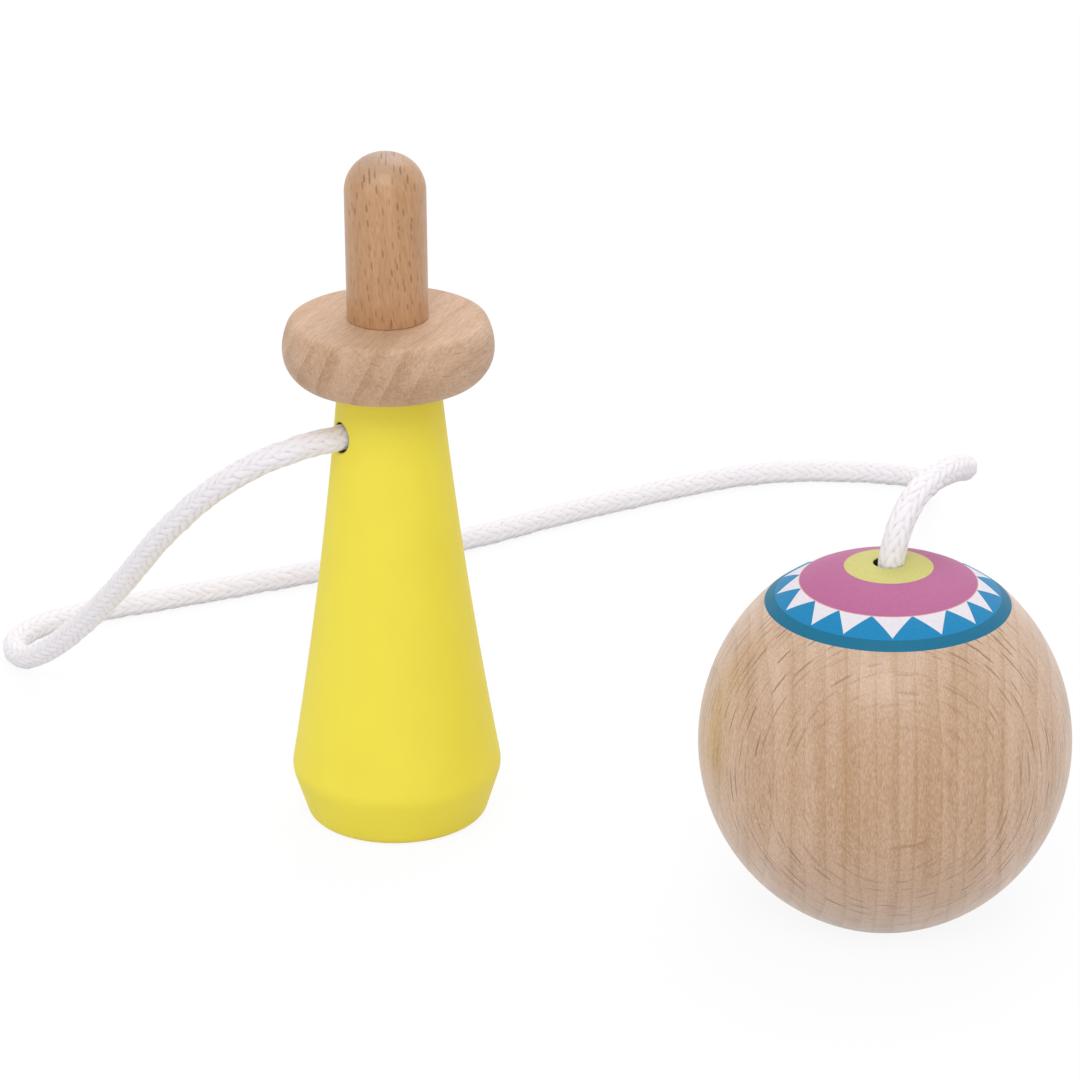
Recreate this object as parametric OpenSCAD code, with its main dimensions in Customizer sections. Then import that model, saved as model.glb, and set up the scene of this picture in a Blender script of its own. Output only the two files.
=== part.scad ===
// Peg and ball toy: a turned handle with a collar and a catching peg, and a ball on a braided cord.
// The origin is the centre of the handle's foot, +Z runs up the handle and +X points at the ball.

/* [Handle] */
// Height of the handle, from its foot to the face under the collar
handle_h = 78.5; // [64:0.5:110]
// Diameter of the face under the collar
handle_top_d = 16.9; // [16:0.1:24]
// Diameter at the widest edge, just above the foot
handle_max_d = 35.6; // [31:0.2:46]
// Height of the widest edge above the foot
handle_edge_z = 8.8; // [6:0.2:14]
// Diameter of the foot, before its edge is rounded
handle_foot_d = 30; // [24:0.5:30.5]
// Radius of the long hollow curve between the widest edge and the collar
handle_waist_r = 850; // [400:50:3000]
// Rounding of the widest edge
handle_edge_round = 5; // [1:0.5:8]
// Rounding of the foot's edge
handle_foot_round = 1.8; // [0.5:0.1:2.5]

/* [Collar] */
// Outside diameter of the collar
collar_d = 35; // [30:0.5:46]
// Thickness of the collar
collar_h = 10.5; // [8:0.5:14]
// Radius of the bulge of the collar's side above its middle, seen in section
collar_side_r = 10; // [8:0.5:16]
// Radius of the bulge of the collar's side below its middle, seen in section
collar_under_r = 6; // [5.5:0.25:10]
// Rounding of the rim of the collar's top face
collar_rim_round = 1.5; // [0.3:0.1:2]

/* [Peg] */
// Diameter of the peg
peg_d = 13.4; // [12:0.2:15]
// Length of the peg above the collar
peg_out = 28; // [20:0.5:30]
// Rounding of the peg's tip
peg_tip_round = 6.3; // [2:0.1:6.5]
// Diameter of the tenon under the peg's shoulder
tenon_d = 9.6; // [8:0.2:11]
// Length of the tenon in the handle, below the collar
tenon_l = 18; // [15:0.5:26]
// Chamfer on the tenon's end
tenon_chamfer = 0.8; // [0.3:0.1:1.5]

/* [Ball] */
// Diameter of the ball at its equator
ball_d = 60.3; // [56:0.1:72]
// Width of the flat ring round the hole, which the ball stands on
ball_foot_w = 3; // [1.5:0.25:4]
// Height of the ball's top above its equator
ball_crown_h = 31.35; // [31:0.05:40]
// Radius of the curve from the foot up to the equator, seen in section
ball_belly_r = 32; // [31:0.5:40]
// Radius of the curve from the equator up to the painted crown, seen in section
ball_shoulder_r = 33.5; // [32:0.5:44]
// Radius of the crown's dome
ball_dome_r = 31; // [28:0.5:36]
// Angle of the taper that ends the hole and stops the knot
ball_hole_taper = 60; // [50:1:80]
// Chamfer at the mouth of the hole
ball_hole_chamfer = 0.8; // [0.3:0.1:1.2]
// Distance from the handle's axis to the ball's axis, as the two stand
ball_x = 87.5; // [80:0.5:120]

/* [Cord] */
// Diameter of the braided cord
cord_d = 4.2; // [3.4:0.1:5]
// Depth of the handle's cord hole below the face under the collar
cord_hole_drop = 9; // [6:0.5:12]
// Bearing of the handle's cord hole, from +X towards +Y
cord_hole_angle = 232; // [180:1:270]
// How far the blind cord hole runs past the handle's axis
cord_hole_past = 2.5; // [1:0.25:3.5]
// Diameter of the stopper knot inside the ball
knot_d = 10.4; // [9:0.2:11]

/* [Fits] */
// Radial clearance of the glued tenon in the collar and the handle
glue_gap = 0.05; // [0.02:0.01:0.15]
// Gap below the tenon's end in its socket
socket_end_gap = 0.5; // [0.2:0.1:2]
// Room round the peg in the ball's hole, on each side
catch_gap = 3.3; // [2:0.1:4]
// Room past the peg's tip in the straight part of the ball's hole
catch_end_gap = 2.5; // [1:0.5:5]
// Room round the cord in its holes, on each side
cord_gap = 0.4; // [0.3:0.1:0.8]
// Gap past the cord's glued end in its blind hole
cord_end_gap = 0.5; // [0.2:0.1:0.8]
// Gap from the knot to the tapered end of the hole that stops it, and to the end of the cord's free run
knot_gap = 0.3; // [0.1:0.1:0.6]

/* [Hidden] */

fine = 128;
arc_steps = 8;
over = 1;

handle_yellow = "#E4D650";
beech_pale = "#D8B692";
beech_warm = "#CDA175";
cotton = "#ECE8E6";

collar_top_z = handle_h + collar_h;
peg_top_z = collar_top_z + peg_out;
peg_tip_r = min(peg_tip_round, peg_d / 2 - 0.3);
tenon_end_z = handle_h - tenon_l;
cord_hole_z = handle_h - cord_hole_drop;
cord_hole_d = cord_d + 2 * cord_gap;
ball_r = ball_d / 2;
ball_hole_d = peg_d + 2 * catch_gap;
ball_hole_depth = peg_out + catch_end_gap;
ball_foot_d = ball_hole_d + 2 * ball_foot_w;
ball_belly_x = ball_r - ball_belly_r;
ball_equator_z = sqrt(pow(ball_belly_r, 2) - pow(ball_foot_d / 2 - ball_belly_x, 2));
ball_top_z = ball_equator_z + ball_crown_h;
ball_hole_end_z = ball_hole_depth + ball_hole_d / 2 / tan(ball_hole_taper / 2);
knot_z = ball_hole_end_z - (knot_d / 2 + knot_gap) / sin(ball_hole_taper / 2);
cord_end_z = (ball_hole_end_z + ball_top_z) / 2;

// The cord's free run: out of the handle on its left, down to the table, back round behind the
// handle, and up over the back of the ball to its top. It starts to bend a little inside each hole.
cord_lie = 2.3;
cord_run = [
    [-11, -12.5, 68.7], [-18.5, -14.6, 65], [-27.5, -13.5, 58.3], [-38.5, -8.8, 47.8],
    [-51, 0, 34.2], [-64.5, 10.3, 20.5], [-77, 18.4, 9.4], [-85.5, 23.7, 3.6],
    [-90.2, 27.4, cord_lie], [-92.6, 31.8, cord_lie], [-92.6, 37, cord_lie], [-90.4, 43, cord_lie],
    [-86, 49.5, cord_lie], [-75.5, 61, cord_lie], [-57.5, 81, cord_lie], [-37, 107.2, cord_lie],
    [-22.5, 129.5, cord_lie], [-7.5, 149.8, cord_lie], [2, 160.3, cord_lie], [11, 166.2, cord_lie],
    [21, 170, cord_lie], [30, 172, cord_lie], [35.2, 170.8, 2.5], [37.7, 167, 3.4],
    [40.2, 159.5, 5.9], [43.8, 145, 11.4], [52.3, 120.5, 21.7], [62.3, 94, 34.3],
    [72.9, 67.5, 47.3], [87.2, 36.8, 62.2], [89.9, 29, 65.4], [90.5, 21.5, 68],
    [90.1, 14.5, 69.1], [89.4, 8.2, 68.8], [88.7, 3.4, 66.3], [88, 0.8, 62.8]
];
cord_out = [cos(cord_hole_angle), sin(cord_hole_angle), 0];
cord_inside = 0.8;
cord_mouth_inside = 0.45;
cord_root_r = cord_end_gap - cord_hole_past;
cord_mouth_r = handle_top_d / 2 - cord_mouth_inside;
cord_root = cord_root_r * cord_out + [0, 0, cord_hole_z];
cord_mouth = cord_mouth_r * cord_out + [0, 0, cord_hole_z];
cord_entry = [ball_x, 0, ball_top_z - cord_inside];
cord_end = [ball_x, 0, cord_end_z + knot_gap];
cord_route = concat([cord_root, cord_mouth], cord_run, [cord_entry, cord_end]);
cord_sides = 10;
cord_rings_per_span = 2;

function unit(v) = v / norm(v);

// Points of a fillet of radius r at corner v, between its neighbours p and q
function fillet(p, v, q, r) =
    let (
        a = unit(p - v),
        b = unit(q - v),
        half = acos(a * b) / 2,
        centre = v + unit(a + b) * r / sin(half),
        first = v + a * r / tan(half) - centre,
        last = v + b * r / tan(half) - centre,
        start = atan2(first.y, first.x),
        turn = (atan2(last.y, last.x) - start + 540) % 360 - 180
    )
    [for (i = [0:arc_steps]) centre + r * [cos(start + turn * i / arc_steps), sin(start + turn * i / arc_steps)]];

// Outline with each corner rounded by its own radius, or left sharp where that is 0
function rounded(corners, radii) =
    let (n = len(corners))
    [
        for (i = [0:n - 1])
            each radii[i] == 0
                ? [corners[i]]
                : fillet(corners[(i + n - 1) % n], corners[i], corners[(i + 1) % n], radii[i])
    ];

// Point at fraction t of the smooth span from b to c, with a before and d after
function spline(a, b, c, d, t) =
    b + 0.5 * t * (c - a + t * (2 * a - 5 * b + 4 * c - d + t * (3 * (b - c) + d - a)));

// Smooth curve through all points of a route, with a number of steps to each span
function smooth(route, steps) =
    let (n = len(route))
    [
        for (i = [0:n - 2])
            for (j = [0:steps - 1])
                spline(route[max(i - 1, 0)], route[i], route[i + 1], route[min(i + 2, n - 1)], j / steps),
        route[n - 1]
    ];

function tangent(path, i) = unit(path[min(i + 1, len(path) - 1)] - path[max(i - 1, 0)]);

// Part of v square to the direction t
function square_to(v, t) = unit(v - (v * t) * t);

// Side directions along a path, each carried on from the one before, so that the tube doesn't twist
function sides_along(path, first) =
    [
        for (i = 0, s = square_to(first, tangent(path, 0)); i < len(path);
            i = i + 1, s = square_to(s, tangent(path, min(i, len(path) - 1)))) s
    ];

// Round tube of diameter d swept along a path
module tube(path, d, sides) {
    n = len(path);
    across = sides_along(path, [0, 0, 1]);
    points = [
        for (i = [0:n - 1])
            for (j = [0:sides - 1])
                let (up = cross(tangent(path, i), across[i]), a = 360 * j / sides)
                path[i] + d / 2 * (cos(a) * across[i] + sin(a) * up)
    ];
    walls = [
        for (i = [0:n - 2])
            for (j = [0:sides - 1])
                let (k = (j + 1) % sides, low = i * sides, high = low + sides)
                each [[low + j, high + j, high + k], [low + j, high + k, low + k]]
    ];
    start_cap = [for (j = [1:sides - 2]) [0, j, j + 1]];
    last = (n - 1) * sides;
    end_cap = [for (j = [1:sides - 2]) [last, last + j + 1, last + j]];
    polyhedron(points, concat(walls, start_cap, end_cap), convexity = 10);
}

// Blind hole for the cord, drilled into the handle's side and on into the tenon
module cord_hole_in_handle() {
    translate([0, 0, cord_hole_z])
        rotate([0, 90, cord_hole_angle])
            translate([0, 0, -cord_hole_past])
                cylinder(d = cord_hole_d, h = handle_max_d, $fn = fine);
}

// Half section of the handle: rounded foot, widest edge and long hollow waist
module handle_section() {
    edge = [handle_max_d / 2, handle_edge_z];
    lip = [handle_top_d / 2, handle_h];
    rise = lip - edge;
    outward = unit([rise.y, -rise.x]);
    waist_centre = (edge + lip) / 2 + outward * sqrt(pow(handle_waist_r, 2) - pow(norm(rise) / 2, 2));
    difference() {
        polygon(rounded(
            [[0, 0], [handle_foot_d / 2, 0], edge, lip, [0, handle_h]],
            [0, handle_foot_round, handle_edge_round, 0, 0]
        ));
        translate(waist_centre)
            circle(r = handle_waist_r, $fn = 1440);
    }
}

module handle() {
    socket_depth = tenon_l + socket_end_gap;
    color(handle_yellow)
        difference() {
            rotate_extrude($fn = fine)
                handle_section();
            translate([0, 0, handle_h - socket_depth])
                cylinder(d = tenon_d + 2 * glue_gap, h = socket_depth + over, $fn = fine);
            cord_hole_in_handle();
        }
}

// Half section of the collar: a full bulge below its middle, and a flatter one up to the top face
module collar_section() {
    bore_r = tenon_d / 2 + glue_gap;
    half = collar_h / 2;
    bulge_x = collar_d / 2 - collar_side_r;
    rise = sqrt(pow(collar_side_r, 2) - pow(half, 2));
    under_x = collar_d / 2 - collar_under_r;
    intersection() {
        translate([bulge_x, half])
            circle(r = collar_side_r, $fn = 4 * fine);
        polygon(rounded(
            [[bore_r, half], [bulge_x + rise + half * half / rise, half], [bulge_x + rise, collar_h], [bore_r, collar_h]],
            [0, 0, collar_rim_round, 0]
        ));
    }
    intersection() {
        translate([under_x, half])
            circle(r = collar_under_r, $fn = 4 * fine);
        translate([under_x, 0])
            square([collar_under_r, half]);
    }
    translate([bore_r, 0])
        square([under_x - bore_r, half]);
}

// Disc with a bulged side, slipped over the tenon and held between the peg and the handle
module collar() {
    color(beech_pale)
        translate([0, 0, handle_h])
            rotate_extrude($fn = fine)
                collar_section();
}

// Peg that the ball is caught on: its shoulder sits on the collar, and its tenon runs down through
// the collar into the handle
module peg() {
    peg_r = peg_d / 2;
    tenon_r = tenon_d / 2;
    color(beech_warm)
        difference() {
            rotate_extrude($fn = fine)
                polygon(rounded(
                    [
                        [0, tenon_end_z], [tenon_r - tenon_chamfer, tenon_end_z],
                        [tenon_r, tenon_end_z + tenon_chamfer], [tenon_r, collar_top_z],
                        [peg_r, collar_top_z], [peg_r, peg_top_z], [0, peg_top_z]
                    ],
                    [0, 0, 0, 0, 0, peg_tip_r, 0]
                ));
            cord_hole_in_handle();
        }
}

// Half section of the ball: a full belly below the equator, a shoulder above it and a shallow dome
module ball_section() {
    intersection() {
        translate([ball_belly_x, ball_equator_z])
            circle(r = ball_belly_r, $fn = 4 * fine);
        square([ball_r, ball_equator_z]);
    }
    intersection() {
        translate([ball_r - ball_shoulder_r, ball_equator_z])
            circle(r = ball_shoulder_r, $fn = 4 * fine);
        translate([0, ball_top_z - ball_dome_r])
            circle(r = ball_dome_r, $fn = 4 * fine);
        translate([0, ball_equator_z])
            square([ball_r, ball_crown_h]);
    }
}

// Drilled from below for the peg, with a chamfered mouth, a tapered end and the cord's hole above
module ball_bores() {
    mouth_r = ball_hole_d / 2 + ball_hole_chamfer;
    rotate_extrude($fn = fine)
        polygon([
            [0, -over], [mouth_r, -over], [mouth_r, 0], [ball_hole_d / 2, ball_hole_chamfer],
            [ball_hole_d / 2, ball_hole_depth], [0, ball_hole_end_z]
        ]);
    translate([0, 0, ball_hole_depth])
        cylinder(d = cord_hole_d, h = ball_top_z, $fn = fine);
}

module ball() {
    color(beech_pale)
        translate([ball_x, 0, 0])
            difference() {
                rotate_extrude($fn = fine)
                    ball_section();
                ball_bores();
            }
}

// Stopper knot in the end of the peg's hole, with the stretch of cord that runs up into the cord's hole
module ball_knot() {
    color(cotton)
        translate([ball_x, 0, 0]) {
            translate([0, 0, knot_z])
                sphere(d = knot_d, $fn = fine);
            translate([0, 0, knot_z])
                cylinder(d = cord_d, h = cord_end_z - knot_z, $fn = fine);
        }
}

module cord() {
    color(cotton)
        tube(smooth(cord_route, cord_rings_per_span), cord_d, cord_sides);
}

handle();
collar();
peg();
ball();
ball_knot();
cord();
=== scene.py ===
# %% [markdown]
# # A turned peg and ball toy
# The toy is a yellow handle with a beech collar and peg on top, a drilled
# beech ball with a painted crown, and a braided cotton cord that ties the two
# together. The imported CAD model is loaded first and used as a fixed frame, so
# every surface below is written in the same millimetres as the solids.

import bpy
import numpy as np
from mathutils import Matrix


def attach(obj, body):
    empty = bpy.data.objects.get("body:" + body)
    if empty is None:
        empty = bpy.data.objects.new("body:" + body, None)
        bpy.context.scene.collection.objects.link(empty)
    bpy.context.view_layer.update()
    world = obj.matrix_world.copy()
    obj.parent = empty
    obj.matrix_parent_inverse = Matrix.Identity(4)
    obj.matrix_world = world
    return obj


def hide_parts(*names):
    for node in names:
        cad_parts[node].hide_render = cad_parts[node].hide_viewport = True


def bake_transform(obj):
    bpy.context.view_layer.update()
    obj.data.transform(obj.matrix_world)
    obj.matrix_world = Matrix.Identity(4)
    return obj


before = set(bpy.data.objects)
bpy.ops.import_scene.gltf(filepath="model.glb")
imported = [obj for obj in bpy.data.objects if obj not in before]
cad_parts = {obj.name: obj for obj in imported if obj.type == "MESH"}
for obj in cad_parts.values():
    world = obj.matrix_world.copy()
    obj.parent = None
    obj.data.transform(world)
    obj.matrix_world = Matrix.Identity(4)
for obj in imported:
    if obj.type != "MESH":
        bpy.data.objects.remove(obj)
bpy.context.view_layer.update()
MM = 0.001
scene = bpy.context.scene
scene.view_settings.view_transform = "Standard"

# %% [markdown]
# ## The camera
# The photograph was taken from slightly above with a long lens. The position
# and angles come from fitting a camera to the outlines of the handle, collar,
# peg and ball. A camera or a lamp looks along its own -Z with +Y up, so its
# matrix has the columns right, up and backwards.

# %% Camera
CAMERA_AT = np.array([307.9, -639.7, 344.1])
AZIMUTH, PITCH, ROLL = np.radians([23.713, 22.569, 0.449])
IMAGE_PIXELS, FOCAL_PIXELS, SENSOR_WIDTH = 1080, 4600, 36
CLIP_END = 50


def put(thing, right, up, back, at):
    """A camera or lamp in the scene, by its three directions and its point."""
    scene.collection.objects.link(thing)
    placing = np.eye(4)
    placing[:3] = np.column_stack([right, up, back, at])
    thing.matrix_world = Matrix(placing)


level_right = np.array([np.cos(AZIMUTH), np.sin(AZIMUTH), 0])
forward = np.array([-np.sin(AZIMUTH) * np.cos(PITCH), np.cos(AZIMUTH) * np.cos(PITCH), -np.sin(PITCH)])
level_down = np.cross(forward, level_right)
camera_right = np.cos(ROLL) * level_right + np.sin(ROLL) * level_down
camera_up = np.sin(ROLL) * level_right - np.cos(ROLL) * level_down

camera = bpy.data.objects.new("camera", bpy.data.cameras.new("camera"))
camera.data.sensor_width = SENSOR_WIDTH
camera.data.lens = SENSOR_WIDTH * FOCAL_PIXELS / IMAGE_PIXELS
camera.data.clip_end = CLIP_END
put(camera, camera_right, camera_up, -forward, CAMERA_AT * MM)
scene.camera = camera
print("lens in mm:", round(camera.data.lens, 2))

# %% [markdown]
# ## Small helpers for materials
# A colour picker gives a hex colour in sRGB. Cycles computes in linear light,
# so one function converts it. A second one adds a node: plain values are set
# on its sockets, and other nodes are linked to them. A third starts a material
# with an empty tree.

# %% Colour and node helpers
# a Mix node's sockets for colours, which share their names with others
MIX_BY, MIX_FROM, MIX_TO = 0, 6, 7


def linear(hex_code):
    """An sRGB hex colour in linear light: each channel below 0.04045 is
    divided by 12.92, and any other is raised to the power 2.4."""
    s = np.array([int(hex_code[i:i + 2], 16) for i in (1, 3, 5)]) / 255
    level = np.where(s <= 0.04045, s / 12.92, ((s + 0.055) / 1.055) ** 2.4)
    return (*level.tolist(), 1.0)


def add(tree, kind, inputs=(), **settings):
    """A shader node with its settings and inputs filled in. A node as an
    input stands for the first of its outputs that is in use."""
    made = tree.nodes.new("ShaderNode" + kind)
    for name, value in settings.items():
        setattr(made, name, value)
    for key, value in dict(inputs).items():
        if isinstance(value, bpy.types.Node):
            value = next(o for o in value.outputs if o.enabled)
        if isinstance(value, bpy.types.NodeSocket):
            tree.links.new(value, made.inputs[key])
        else:
            made.inputs[key].default_value = value
    return made


def new_material(name):
    """An empty node material, and its tree."""
    made = bpy.data.materials.new(name)
    made.use_nodes = True
    made.node_tree.nodes.clear()
    return made, made.node_tree


print("white in linear light:", linear("#ffffff")[:3])

# %% [markdown]
# ## The room
# The photograph is a cut-out on white under soft, even light. A white sky
# lights the toy from all round, one large soft lamp in front and one behind
# give the tops more light than the sides, and a pale floor sends light back
# up. Rays from the camera, and mirror-like ones, see plain white with a faint
# shadow on it, which leaves the colour of the toy alone.

# %% Sky
SKY_LEVEL = 0.76
WHITE_LIGHT = (1, 1, 1, 1)


def lit_or_seen(tree, lit, seen):
    """One shader for the light that reaches the toy, and another for what the
    camera's rays and mirror-like rays see."""
    rays = add(tree, "LightPath").outputs
    by = rays["Is Camera Ray"]
    for kind in ("Is Glossy Ray", "Is Transmission Ray"):
        by = add(tree, "Math", {0: by, 1: rays[kind]}, operation="ADD", use_clamp=True)
    return add(tree, "MixShader", {0: by, 1: lit, 2: seen})


world = bpy.data.worlds.new("white tent")
scene.world = world
world.use_nodes = True
sky = world.node_tree
sky.nodes.clear()
tent = add(sky, "Background", {0: WHITE_LIGHT, 1: SKY_LEVEL})
plain = add(sky, "Background", {0: WHITE_LIGHT, 1: 1.0})
add(sky, "OutputWorld", {0: lit_or_seen(sky, tent, plain)})
print("sky level:", SKY_LEVEL)

# %% Floor
FLOOR_HALF, FLOOR_DROP = 6.0, 0.00005
FLOOR_TONE, SHADOW_SHARE, SEEN_WHITE = "#e2e2e4", "#57585c", 0.90

floor_mesh = bpy.data.meshes.new("floor")
floor_mesh.from_pydata(
    [(x * FLOOR_HALF, y * FLOOR_HALF, -FLOOR_DROP)
     for x, y in ((-1, -1), (1, -1), (1, 1), (-1, 1))], [], [(0, 1, 2, 3)])
floor = bpy.data.objects.new("floor", floor_mesh)
scene.collection.objects.link(floor)

floor_material, tree = new_material("matt white studio paper")
paper = add(tree, "BsdfDiffuse", {0: linear(FLOOR_TONE)})
faint = add(tree, "BsdfDiffuse", {0: linear(SHADOW_SHARE)})
glow = add(tree, "Emission", {0: WHITE_LIGHT, 1: SEEN_WHITE})
white = add(tree, "AddShader", {0: faint, 1: glow})
add(tree, "OutputMaterial", {0: lit_or_seen(tree, paper, white)})
floor_mesh.materials.append(floor_material)
print("floor in m:", 2 * FLOOR_HALF)

# %% Soft lamps
LAMP_AIM = np.array([0.03, 0.03, 0.04])
# place in m, side in m and watts
LAMPS = {"front softbox": ((0.38, -1.18, 1.60), 1.0, 11.4),
         "back softbox": ((-0.12, 1.26, 1.65), 1.4, 10.8)}

for name, (place, side, watts) in LAMPS.items():
    towards = LAMP_AIM - place
    distance = np.linalg.norm(towards)
    towards = towards / distance
    lamp_right = np.cross(towards, [0, 0, 1])
    lamp_right /= np.linalg.norm(lamp_right)
    lamp = bpy.data.objects.new(name, bpy.data.lights.new(name, "AREA"))
    lamp.data.size = side
    lamp.data.energy = watts
    put(lamp, lamp_right, np.cross(lamp_right, towards), -towards, place)
    print(name, "is", round(float(distance), 2), "m away")

# %% [markdown]
# ## Helpers for shapes
# Four of the six pieces were turned on a lathe, so each is an outline carried
# round an axis. An outline is drawn with a few arcs and lines, its corners
# are eased a little as sanding eases them, and it is cut into rows that lie
# closer together where it bends, because a row costs as much on a flat as on
# a tight edge.

# %% Arcs and lines
def arc(centre, radius, start, end, count=80):
    """Points of a circle from one angle to another, in degrees: the centre
    plus the radius times (cosine, sine)."""
    a = np.radians(np.linspace(start, end, count))
    return np.column_stack([centre[0] + radius * np.cos(a), centre[1] + radius * np.sin(a)])


def corner(before, at, after, radius, count=24):
    """The arc of that radius that touches both sides of a corner: its centre
    is on the corner's bisector, radius / sin(half the angle) away."""
    at = np.array(at, float)
    a, b = ((p - at) / np.linalg.norm(p - at) for p in (before, after))
    half = np.arccos(np.clip(a @ b, -1, 1)) / 2
    middle = at + (a + b) / np.linalg.norm(a + b) * radius / np.sin(half)
    u, v = (at + way * radius / np.tan(half) - middle for way in (a, b))
    turn = np.linspace(0, 1, count)[:, None]
    swing = np.pi - 2 * half
    return middle + (np.sin((1 - turn) * swing) * u + np.sin(turn * swing) * v) / np.sin(swing)


def run_along(line):
    """The length from a line's start to each of its points."""
    return np.append(0, np.cumsum(np.linalg.norm(np.diff(line, axis=0), axis=1)))


def read_at(line, measure, at):
    """The points of a line where a measure along it has the given values."""
    return np.column_stack([np.interp(at, measure, c) for c in line.T])


print("quarter circle:", run_along(arc((0, 0), 1, 0, 90))[-1].round(3))

# %% Outline helpers
FINE = 0.04


def rows_by_bend(outline, step, turn, closed):
    """Rows along an outline, one for each step of length or each turn in
    degrees: even cuts of length / step + angle / turn."""
    line = np.vstack([outline, outline[:1]]) if closed else outline
    edge = np.diff(line, axis=0)
    length = np.linalg.norm(edge, axis=1)
    way = np.unwrap(np.arctan2(edge[:, 1], edge[:, 0]))
    bend = np.degrees(np.abs(np.append(0, np.diff(way))))
    cost = np.append(0, np.cumsum(length / step + bend / turn))
    cuts = np.linspace(0, cost[-1], int(np.ceil(cost[-1])) + 1)
    rows = read_at(line, cost, cuts)
    return rows[:-1] if closed else rows


def eased(outline, width, closed):
    """Corners eased by a running mean over that width. An open outline is
    continued past its ends by its own reflection, so its ends stay put."""
    line = rows_by_bend(outline, FINE, np.inf, closed)
    half = int(width / FINE / 2)
    if closed:
        longer = np.vstack([line[-half:], line, line[:half]])
    else:
        longer = np.vstack([2 * line[0] - line[half:0:-1], line, 2 * line[-1] - line[-2:-half - 2:-1]])
    total = np.cumsum(np.vstack([np.zeros(2), longer]), axis=0)
    span = 2 * half + 1
    return (total[span:] - total[:-span]) / span


print("outlines are eased on points", FINE, "mm apart")

# %% Lathe helpers
def weave(rows, columns, closed_rows=False):
    """Four-sided faces of a grid whose columns close on themselves."""
    i = np.arange(rows if closed_rows else rows - 1)[:, None]
    j = np.arange(columns)[None]
    i2, j2 = (i + 1) % rows, (j + 1) % columns
    return np.stack([i * columns + j, i * columns + j2,
                     i2 * columns + j2, i2 * columns + j], -1).reshape(-1, 4)


def all_round(columns):
    """Bearings of that many even columns, in radians."""
    return np.arange(columns) * 2 * np.pi / columns


def fan(ring, pole):
    """Three-sided faces from a closed ring of points to one point."""
    return np.stack([ring, np.roll(ring, -1), np.full_like(ring, pole)], -1)


def capped(points, rows, columns, poles):
    """Points and faces of a grid whose first and last rows are each drawn to
    a pole. The side faces come first."""
    count, ends = rows * columns, np.arange(columns)
    return np.vstack([points, poles]), [
        weave(rows, columns), fan(ends[::-1], count),
        fan(count - columns + ends, count + 1)]


def turned(outline, bearings, centre, closed):
    """A surface of revolution: the row's radius r at the column's bearing a is
    the centre plus r (cos a, sin a), at the row's height. An open outline
    starts and ends on the axis, and each end is one point."""
    grid = outline if closed else outline[1:-1]
    columns = len(bearings)
    r, z = grid.T
    points = np.stack([centre[0] + np.outer(r, np.cos(bearings)),
                       centre[1] + np.outer(r, np.sin(bearings)),
                       np.repeat(z[:, None], columns, 1)], -1).reshape(-1, 3)
    if closed:
        return points, [weave(len(grid), columns, True)]
    poles = [[*centre, outline[0, 1]], [*centre, outline[-1, 1]]]
    return capped(points, len(grid), columns, poles)


print("a fan of 4 points has faces:", len(fan(np.arange(4), 4)))

# %% Mesh helpers
def volume_of(points, faces):
    """Signed volume: a sixth of the triple product, summed over triangles."""
    three = [f[:, [0, k, k + 1]] for f in faces for k in range(1, f.shape[1] - 1)]
    a, b, c = points[np.vstack(three)].transpose(1, 0, 2)
    return float(np.einsum("ij,ij->", a, np.cross(b, c)) / 6)


def make_piece(name, points, faces, material, flat_from=None, **values):
    """A mesh object from points in mm, with its faces turned outwards, its
    values per point, and its faces after flat_from left unsmoothed."""
    volume = volume_of(points, faces)
    if volume < 0:
        faces = [f[:, ::-1] for f in faces]
    listed = [row for f in faces for row in f.tolist()]
    mesh = bpy.data.meshes.new(name)
    mesh.from_pydata((points * MM).tolist(), [], listed)
    smooth = np.ones(len(listed), bool)
    if flat_from is not None:
        smooth[flat_from:] = False
    mesh.polygons.foreach_set("use_smooth", smooth)
    for key, value in values.items():
        held = mesh.attributes.new(key, "FLOAT_VECTOR", "POINT")
        held.data.foreach_set("vector", np.ravel(value).astype(np.float32))
    mesh.materials.append(material)
    mesh.update()
    made = bpy.data.objects.new(name, mesh)
    scene.collection.objects.link(made)
    print(name, "faces:", len(listed), "cm3:", round(abs(volume) / 1000, 2))
    return made


print("a millimetre is written as", MM, "m")

# %% [markdown]
# ## The cord's route
# The cord is 0.53 m of round braided cotton. It leaves a hole in the handle,
# arches to the table, doubles back behind the handle, turns again and climbs
# over the back of the ball to the hole in its crown. The points are those of
# the CAD cord, and a Catmull-Rom spline runs through all of them. A
# hand-drawn Bezier curve would also do, but these points keep the dressed
# cord where the solid one is.

# %% Cord route
BALL_X, BALL_TOP = 87.5, 59.6957
CORD_DIAMETER = 4.2
PORT_HEIGHT, PORT_BEARING = 69.5, np.radians(232)
PORT_WAY = np.array([np.cos(PORT_BEARING), np.sin(PORT_BEARING), 0])
CORD_ROOT, CORD_MOUTH, CORD_EXIT = 5.6, 8.0, 9.3
SPLIT_POINT, PER_SPAN = 25, 60

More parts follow.
